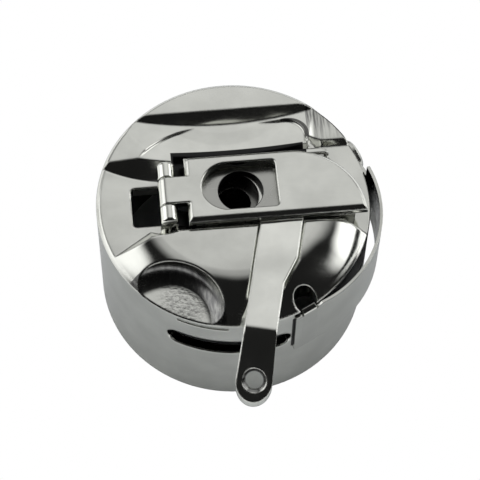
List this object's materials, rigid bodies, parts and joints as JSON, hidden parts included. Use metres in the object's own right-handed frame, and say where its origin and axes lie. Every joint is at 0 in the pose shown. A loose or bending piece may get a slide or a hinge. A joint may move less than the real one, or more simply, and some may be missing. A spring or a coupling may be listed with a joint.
{
  "type": "sewing machine bobbin case",
  "caption": "Polished steel bobbin case with a domed front, hinged latch lever over a sprung slide, bent thread finger with an eye, and a leaf tension spring round the wall",
  "frame": {"origin": "on the bobbin's axis, at the plane of the open end, which is also the open end of the centre post's bore", "axes": "X along the latch from its hinge to the lever's tip, Y across it away from the thread finger, Z along the bobbin's axis to the domed front"},
  "size_m": [0.0233, 0.0285, 0.0159],
  "materials": {
    "case_steel": "polished, with fine turning and handling marks",
    "post_steel": "turned",
    "slide_steel": "ground",
    "pin_steel": "ground",
    "lever_steel": "polished, lightly brushed",
    "spring_steel": "rolled spring steel",
    "finger_steel": "polished, worn round the eye",
    "screw_steel": "turned"
  },
  "bodies": {
    "case": {"case_body": "case_steel", "centre_post": "post_steel", "thread_finger": "finger_steel", "finger_rivets": "pin_steel", "tension_spring": "spring_steel", "spring_fixing_screw": "screw_steel", "latch_coil_spring": "spring_steel"},
    "slide": {"latch_slide": "slide_steel", "latch_hinge_pin": "pin_steel"},
    "lever": {"latch_lever": "lever_steel"},
    "adjuster": {"tension_adjusting_screw": "screw_steel"}
  },
  "joints": [
    {"name": "latch_slide_travel", "type": "slide", "parent": "case", "child": "slide", "axis": [-1, 0, 0], "range_m": [0, 0.0006], "deforming": ["latch_coil_spring"]},
    {"name": "lever_hinge", "type": "hinge", "parent": "slide", "child": "lever", "pos_m": [-0.00535, 0, 0.0152], "axis": [0, -1, 0], "range_deg": [0, 80]},
    {"name": "adjuster_turn", "type": "hinge", "parent": "case", "child": "adjuster", "pos_m": [0.0101, 0.00537, 0.0092], "axis": [0.8829, 0.4695, 0], "range_deg": [-180, 180]}
  ],
  "couplings": [
    {"joint": "latch_slide_travel", "follows": "lever_hinge", "m_per_rad": 0.00042972}
  ]
}
